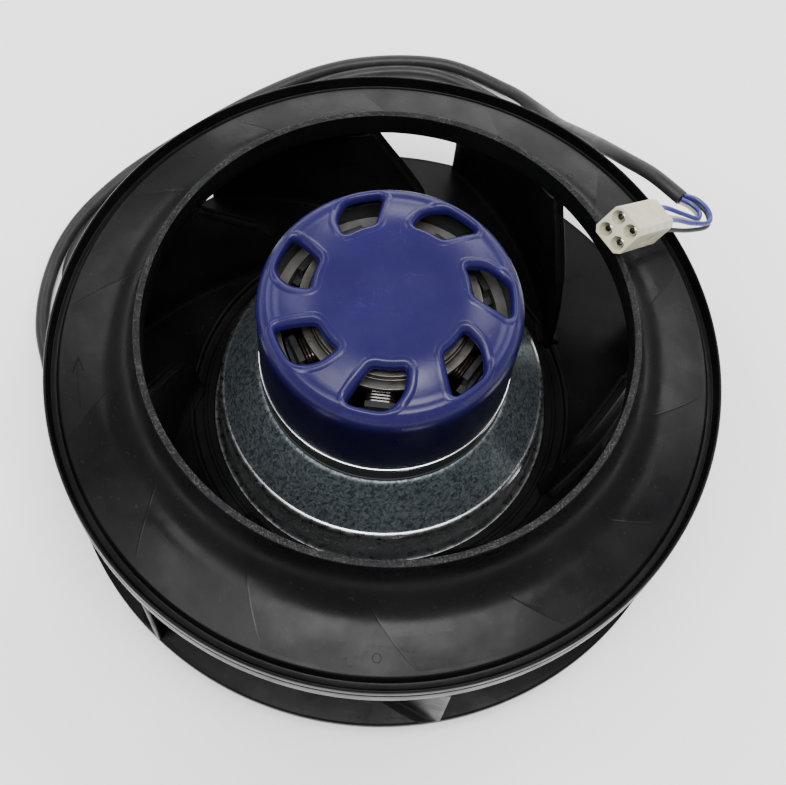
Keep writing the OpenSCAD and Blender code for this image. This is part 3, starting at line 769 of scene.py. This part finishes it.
def shroud():
    outline = shroud_top() + [(WHEEL_R - 0.02, SKIRT_Z + 0.02), (SKIRT_IN, SKIRT_Z + 0.02)]
    outline += list(reversed(shroud_under()))
    obj = lathe("shroud", rounded(outline, 0.3, steps=3), 360, 50)
    return obj


def on_shroud(r, degrees):
    x, y = polar(r, degrees)
    return Vector((x, y, surface_z(r)))


def turn_arrow():
    """Raised arrow that shows which way the wheel turns."""
    shaft_line = [on_shroud(ARROW_R, a) for a in (198.5, 196.5, 194.5, 192.5, 190.5, 188.8)]
    bar = tube("bar", spline(shaft_line, 6), 0.16, 8)
    wings = []
    for side in (-1, 1):
        line = [on_shroud(ARROW_R, 188.4), on_shroud(ARROW_R + side * 0.8, 190),
                on_shroud(ARROW_R + side * 1.5, 191.4)]
        wings.append(tube("wing", spline(line, 4), 0.16, 8))
    return join("turn_arrow", [bar] + wings)


def mould_marks():
    marks = []
    for r, degrees, size in ((86.2, 274, 1.1), (81.8, 325, 0.9), (78.5, 147, 0.9), (80.6, 52, 0.9)):
        ring_line = []
        for k in range(25):
            a = TURN * k / 24
            across_r = degrees + math.degrees(size * math.sin(a) / r)
            ring_line.append(on_shroud(r + size * math.cos(a), across_r))
        marks.append(tube("mark", ring_line, 0.07, 6))
    return join("mould_marks", marks)


shroud_piece = shroud()
finish_piece(shroud_piece, [moulded_shroud, cut_edge], "wheel", ["inlet_shroud"])
for face in shroud_piece.data.polygons:
    face.material_index = 1 if face.center.z > (INLET_Z - 0.12) * MM else 0
finish_piece(turn_arrow(), moulded_shroud, "wheel")
finish_piece(mould_marks(), moulded_shroud, "wheel")


# ---------- blades ----------
BLADE_BEND = 108
BLADE_T = 2
BLADE_FOOT = Vector(polar(56, 26))
BLADE_TAIL = Vector(polar(WHEEL_R, 80.4))
chord = BLADE_TAIL - BLADE_FOOT
BLADE_CENTRE = ((BLADE_FOOT + BLADE_TAIL) / 2 + Vector((-chord.y, chord.x)).normalized()
                * math.sqrt(BLADE_BEND ** 2 - chord.length_squared / 4))


def plate_top(r):
    return blend(PLATE_STEP_Z, RIM_TOP_Z, (r - PLATE_STEP_R) / (WHEEL_R - PLATE_STEP_R))


def blade_turn(r):
    """Angle round the blade's own centre where the blade lies at a wheel radius."""
    d = BLADE_CENTRE.length
    lean = math.atan2(BLADE_CENTRE.y, BLADE_CENTRE.x)
    swing = math.acos((r * r - d * d - BLADE_BEND ** 2) / (2 * BLADE_BEND * d))
    foot_turn = math.atan2(BLADE_FOOT.y - BLADE_CENTRE.y, BLADE_FOOT.x - BLADE_CENTRE.x)
    both = [lean + swing, lean - swing]
    return min(both, key=lambda a: abs(math.remainder(a - foot_turn, TURN)))


def along(points, share):
    """Point at a share of a polyline's length."""
    pts = [Vector(p) for p in points]
    left = share * path_length(pts)
    for a, b in zip(pts, pts[1:]):
        step = (b - a).length
        if left <= step:
            return a.lerp(b, left / step)
        left -= step
    return pts[-1]


def blade():
    front = [(55.8, 26.5), (56.4, 40), (57.2, 48), (58.8, 55), (61.4, 61.5), (64, 67.5), (INLET_R, 73.2)]
    rear = [(WHEEL_R - 0.15, RIM_TOP_Z - 0.2), (WHEEL_R - 0.15, SKIRT_Z - 0.1), (SKIRT_IN, SKIRT_Z - 0.1)]
    rear += [(p[0], p[1] - 0.05) for p in reversed(shroud_under()[:-1])]
    levels = [0, 0.006, 0.012, 0.02, 0.03, 0.042, 0.06, 0.09] + [0.12 + 0.86 * i / 46 for i in range(47)]
    rings = []
    for v in levels:
        p, q = along(front, v), along(rear, v)
        turn_p, turn_q = blade_turn(p[0]), blade_turn(q[0])
        span = abs(turn_q - turn_p) * BLADE_BEND
        rib = smooth_step(53, 57, p[1])
        nose = 1 + 0.5 * rib
        small = min(1, span / 8)
        marks = [(0.9 * rib, 0.4), (0.02, 0.46), (0, nose - 0.35), (0.1, nose - 0.1), (0.35, nose),
                 (1.3, nose), (1.7, nose - 0.35 * rib), (2.2, BLADE_T / 2)]
        half = [(s * small, w) for s, w in marks]
        half += [(blend(half[-1][0], span - 1, (k + 1) / 26), BLADE_T / 2) for k in range(26)]
        half += [(span - 0.5, 0.87), (span - 0.13, 0.5), (span, 0.12)]
        ring = []
        for side in (1, -1):
            row = half if side == 1 else list(reversed(half))
            for s, w in row:
                t = s / span
                turn = blend(turn_p, turn_q, t)
                spot = BLADE_CENTRE + Vector((math.cos(turn), math.sin(turn))) * BLADE_BEND
                z = blend(p[1], q[1], t)
                above = z - plate_top(spot.length)
                fillet = 2.4
                if above < fillet and spot.length > PLATE_STEP_R - 1:
                    reach_out = fillet - math.sqrt(max(0, fillet ** 2 - (fillet - max(0, above)) ** 2))
                    w = w + reach_out * min(1, (span - s) / 2) * min(1, s / 1.5)
                spot += Vector((math.cos(turn), math.sin(turn))) * w * side
                if spot.length > WHEEL_R - 0.03:
                    spot *= (WHEEL_R - 0.03) / spot.length
                ring.append((spot.x, spot.y, z))
        rings.append(ring)
    return loft("blade", rings, sharp=42)


master = blade()
for i in range(BLADES):
    copy = bpy.data.objects.new(f"blade_{i + 1}_moulded", master.data.copy())
    bpy.context.scene.collection.objects.link(copy)
    copy.data.transform(Matrix.Rotation(BLADE_STEP * i, 4, "Z"))
    finish_piece(copy, moulded, "wheel", [f"blade_{i + 1}"])
bpy.data.objects.remove(master)


# ---------- back plate ----------
def back_plate():
    outline = [(50.25, 26.5), (52.4, 26.5), (52.7, 26.75), (53.5, 26.75), (53.8, 26.5), (56.2, 26.5),
               (56.5, PLATE_STEP_Z), (57.3, PLATE_STEP_Z + 0.25), (58, PLATE_STEP_Z - 0.2),
               (76, plate_top(76)), (WHEEL_R - 1.4, RIM_TOP_Z + 0.25), (WHEEL_R - 0.4, RIM_TOP_Z + 0.1),
               (WHEEL_R - 0.03, RIM_TOP_Z - 0.4), (WHEEL_R - 0.03, PLATE_Z + 0.3),
               (WHEEL_R - 0.4, PLATE_Z + 0.02), (WHEEL_R - 2, PLATE_Z + 0.02),
               (WHEEL_R - 2.1, RIM_TOP_Z - 1.7), (60.6, 24.9), (60.4, 24.3), (50.25, 24.3)]
    plate = lathe("plate", rounded(outline, 0.45, steps=4), 320, 50)
    head = [(0.01, 22.7), (1.2, 22.65), (2.1, 22.8), (2.45, 23.05), (2.45, 23.2), (0.01, 23.2)]

    def stake():
        obj = lathe("stake", rounded(head, 0.15, steps=2), 32)
        obj.data.transform(Matrix.Translation((STAKE_R * MM, 0, 0)))
        return obj

    return join("back_plate_moulded", [plate, around(stake, BLADES)])


finish_piece(back_plate(), moulded, "wheel", ["back_plate"])


# ---------- hub flange ----------
def hub_flange():
    t = 1.2
    neck = (36.1, 53.7)
    rim = (47.7, INLET_Z - 41.7)
    outline = [(33.95, neck[1]), (neck[0] - 0.2, neck[1]), (neck[0] + 0.6, neck[1] - 0.5),
               (rim[0] - 1.4, rim[1] + 1.2), (rim[0] - 0.5, rim[1] + 0.9), (rim[0] + 0.25, rim[1] + 0.1),
               (rim[0] + 0.3, rim[1] - 0.8),
               (48, 26.8), (48.6, 25.2), (49.8, 24.28), (60, 24.28), (60, 23.12), (47.6, 23.12),
               (46.8, 26), (46.8, rim[1] - 1.4), (45.8, rim[1] - 0.4), (neck[0] - 0.4, neck[1] - t),
               (33.95, neck[1] - t)]
    return lathe("hub_flange_pressed", rounded(outline, 0.7, steps=5), 256, 50)


flange_piece = hub_flange()
finish_piece(flange_piece, [zinc, drawn_edge], "wheel", ["hub_flange"])
# the rim and wall faces take the bright metal, whose raised colour is partly a painted highlight
for face in flange_piece.data.polygons:
    face.material_index = 1 if face.center.xy.length > 46.6 * MM else 0

# ---------- rotor can ----------
VENT_IN = 21.2
VENT_OUT = 31.5
VENTS = 7
VENT_PHASE = 10.3
FLAT_R = 17
BROW_R = 30.5
SIDE_TURN = (CAN_R - 6.4, CAN_TOP - 9.3)


def can_z(r):
    """Height of the can's outer face at a radius."""
    if r < BROW_R:
        return CAN_TOP - 0.02 - 3.8 * max(0, (r - FLAT_R) / (BROW_R - FLAT_R)) ** 2
    edge = r - SIDE_TURN[0]
    return min(CAN_TOP - 3.8, SIDE_TURN[1] + math.sqrt(max(0, 6.4 ** 2 - edge ** 2)))


def vent_outline():
    """Opening of one vent: a leaning trapezium with round corners."""
    inner = [polar(VENT_IN, -5.5 + 8 * i) for i in range(4)]
    outer = [polar(VENT_OUT, 4.5 - 6 * i) for i in range(4)]
    corners = inner + [polar(26.3, 15.6), polar(29.4, 10.5)] + outer + [polar(26.2, -10.6)]
    return rounded(corners, 2, steps=5)


def vent_normals(line):
    n = len(line)
    out = []
    for i in range(n):
        forward = line[(i + 1) % n] - line[i - 1]
        out.append(Vector((-forward.y, forward.x)).normalized())
    return out


def vent_lip():
    """Pressed border of one vent: a low swell that rolls down into the opening."""
    line = vent_outline()
    section = [(3.1, -0.12), (2.7, 0.06), (2.2, 0.26), (1.7, 0.3), (1.2, 0.12), (0.7, -0.3), (0.25, -0.95),
               (0.05, -1.7), (0, -2.6), (0.5, -2.6), (0.7, -1.8), (1.3, -1.1), (2.6, -0.8)]
    rings = []
    for p, outward in zip(line, vent_normals(line)):
        ring = []
        for out, lift in section:
            spot = p + outward * out
            ring.append((spot.x, spot.y, min(can_z(spot.length) + lift, CAN_TOP - 0.02)))
        rings.append(ring)
    return loft("vent_lip", rings, closed=True, sharp=60)


def vent_cutter():
    line = vent_outline()
    wide = [p + outward * 1.6 for p, outward in zip(line, vent_normals(line))]
    return loft("cutter", [[(p.x, p.y, z) for p in wide] for z in (CAN_TOP - 16, CAN_TOP + 3)])


def rotor_can():
    outer = [(0.01, CAN_TOP - 0.02)] + [(r, can_z(r)) for r in (6, 12, 17)]
    outer += [(r, can_z(r)) for r in (18.5, 20, 21.5, 23, 24.5, 26, 27.5, 29, 30.4, 31.2)]
    outer += arc(SIDE_TURN, 6.4, 58, 0, 12)
    outer += [(CAN_R - 0.02, CAN_LOW + 1.2), (CAN_R - 0.35, CAN_LOW + 1.0), (CAN_R - 0.35, CAN_LOW + 0.7),
              (CAN_R - 0.02, CAN_LOW + 0.5), (CAN_R - 0.02, CAN_LOW)]
    inner = [(CAN_R - 1.6, CAN_LOW)] + arc(SIDE_TURN, 4.8, 0, 60, 8)
    inner += [(30, CAN_TOP - 5.4), (20, CAN_TOP - 2), (0.01, CAN_TOP - 2)]
    can = lathe("can", outer + inner, 256, 50)
    cut(can, around(vent_cutter, VENTS, VENT_PHASE))
    return join("rotor_can_pressed", [can, around(vent_lip, VENTS, VENT_PHASE)])


finish_piece(rotor_can(), enamel, "wheel", ["rotor_can"])

ring_low, ring_top = foot("can_edge_ring"), top("can_edge_ring")
ring_r = reach("can_edge_ring") - 0.02
edge_outline = [(34, ring_low), (ring_r - 0.3, ring_low), (ring_r, ring_low + 0.3), (ring_r, ring_top - 0.3),
                (ring_r - 0.3, ring_top), (34, ring_top)]
finish_piece(lathe("edge_ring", rounded(edge_outline, 0.35), 256, 50), bright, "wheel",
             ["can_edge_ring"])
band_low, band_top, band_r = foot("can_seal_band"), top("can_seal_band"), reach("can_seal_band") - 0.02
band_outline = [(33.95, band_low), (band_r, band_low), (band_r, band_low + 0.8), (band_r - 0.4, band_low + 1),
                (band_r - 0.4, band_top - 1.6), (band_r, band_top - 1.4), (band_r, band_top),
                (33.95, band_top)]
finish_piece(lathe("seal_band", rounded(band_outline, 0.2), 256), seal, "wheel",
             ["can_seal_band"])


# ---------- windings seen through the vents ----------
def coil():
    """Round wire laid in turns round one tooth."""
    turns = []
    wire = 0.42
    middle = (foot("windings") + top("windings")) / 2
    half_z = (top("windings") - foot("windings")) / 2
    half_y = 4.1
    for layer in range(2):
        for i in range(9):
            x = 17.6 + wire + i * 0.86
            a, b = half_y - wire - layer * 0.85, half_z - wire - layer * 0.85
            corner = 1.6
            loop = []
            for cx, cz, start in ((a - corner, b - corner, 0), (-a + corner, b - corner, 90),
                                  (-a + corner, -b + corner, 180), (a - corner, -b + corner, 270)):
                for k in range(6):
                    dy, dz = polar(corner, start + 18 * k)
                    loop.append(Vector((x, cx + dy, middle + cz + dz)))
            sides = 8
            rings = []
            for k, p in enumerate(loop):
                ahead = (loop[(k + 1) % len(loop)] - loop[k - 1]).normalized()
                side = Vector((1, 0, 0))
                up = ahead.cross(side)
                angles = [TURN * j / sides for j in range(sides)]
                rings.append([p + side * wire * math.cos(t) + up * wire * math.sin(t) for t in angles])
            turns.append(loft("turn", rings, closed=True))
    return join("coil", turns)


finish_piece(around(coil, 12), copper, "motor", ["windings"])


# ---------- shaft hub seen through the vents ----------
def shaft_hub():
    """Turned seat of the can: three steps, each with a groove along its foot."""
    bore = reach("shaft")
    outline = [(bore, foot("shaft_hub")), (HUB_NECK_R, foot("shaft_hub")), (HUB_NECK_R, HUB_SEAT_Z)]
    level = HUB_SEAT_Z
    for r, inner_r in ((24.48, 21.5), (21.48, 18), (17.98, 12)):
        outline += [(r, level), (r, level + HUB_SEAT_T), (inner_r + 0.7, level + HUB_SEAT_T),
                    (inner_r + 0.5, level + HUB_SEAT_T - 0.25), (inner_r + 0.05, level + HUB_SEAT_T - 0.25)]
        level += HUB_SEAT_T
    outline += [(12, top("shaft_hub") - 0.02), (bore, top("shaft_hub") - 0.02)]
    return lathe("shaft_hub_turned", rounded(outline, 0.18, steps=3), 192, 40)


finish_piece(shaft_hub(), cast, "wheel", ["shaft_hub"])

# ---------- carried-over nodes ----------
carried = (
    (cast, ("motor_base", "bearing_cap")),
    (ground, ("upper_bearing_outer", "lower_bearing_outer", "upper_bearing_inner", "lower_bearing_inner",
              "shaft")),
    (spring, ("preload_spring", "shaft_circlip")),
    (dark_steel, ("lamination_stack", "rotor_yoke")),
    (insulator, ("upper_insulator", "lower_insulator")),
    (board, ("circuit_board",)),
    (sleeve, ("capacitors",)),
    (chip, ("power_chips",)),
    (moulded, ("base_lid",)),
    (foam, ("lid_gasket",)),
    (zinc_screw, ("lid_screws", "board_screws")),
    (bonded, ("magnets",)),
    (brass, ("upper_ball_cage", "lower_ball_cage")))
for material, nodes in carried:
    for node in nodes:
        piece = next(o for o in bpy.data.objects if o.name == node)
        piece.data.materials.clear()
        piece.data.materials.append(material)

# ---------- floor and light ----------
LIGHT_AIM = Vector((0, 0, 0.05))
bpy.ops.mesh.primitive_plane_add(size=6, location=(0, 0, -0.0002))
floor = bpy.context.object
floor.name = "floor"
floor.data.materials.append(floor_paper)


def soft_light(name, at, size, watts):
    data = bpy.data.lights.new(name, "AREA")
    data.shape = "RECTANGLE"
    data.size, data.size_y = size
    data.energy = watts
    lamp = bpy.data.objects.new(name, data)
    bpy.context.scene.collection.objects.link(lamp)
    lamp.location = at
    lamp.rotation_euler = (LIGHT_AIM - Vector(at)).to_track_quat("-Z", "Y").to_euler()


soft_light("ceiling", (0.1, -0.3, 1.35), (0.8, 0.5), 22)
soft_light("window", (-0.62, 0.5, 0.86), (0.5, 0.5), 4)
soft_light("right_panel", (0.62, 0.5, 0.86), (0.5, 0.5), 6)
soft_light("front_left", (-0.55, -0.45, 1.1), (0.5, 0.5), 7)
soft_light("rear_wall", (0.1, 1.4, 0.6), (1.6, 0.5), 16)

world = bpy.data.worlds.new("studio")
bpy.context.scene.world = world
world.use_nodes = True
world.node_tree.nodes["Background"].inputs["Color"].default_value = (1, 1, 1, 1)
world.node_tree.nodes["Background"].inputs["Strength"].default_value = 0.7
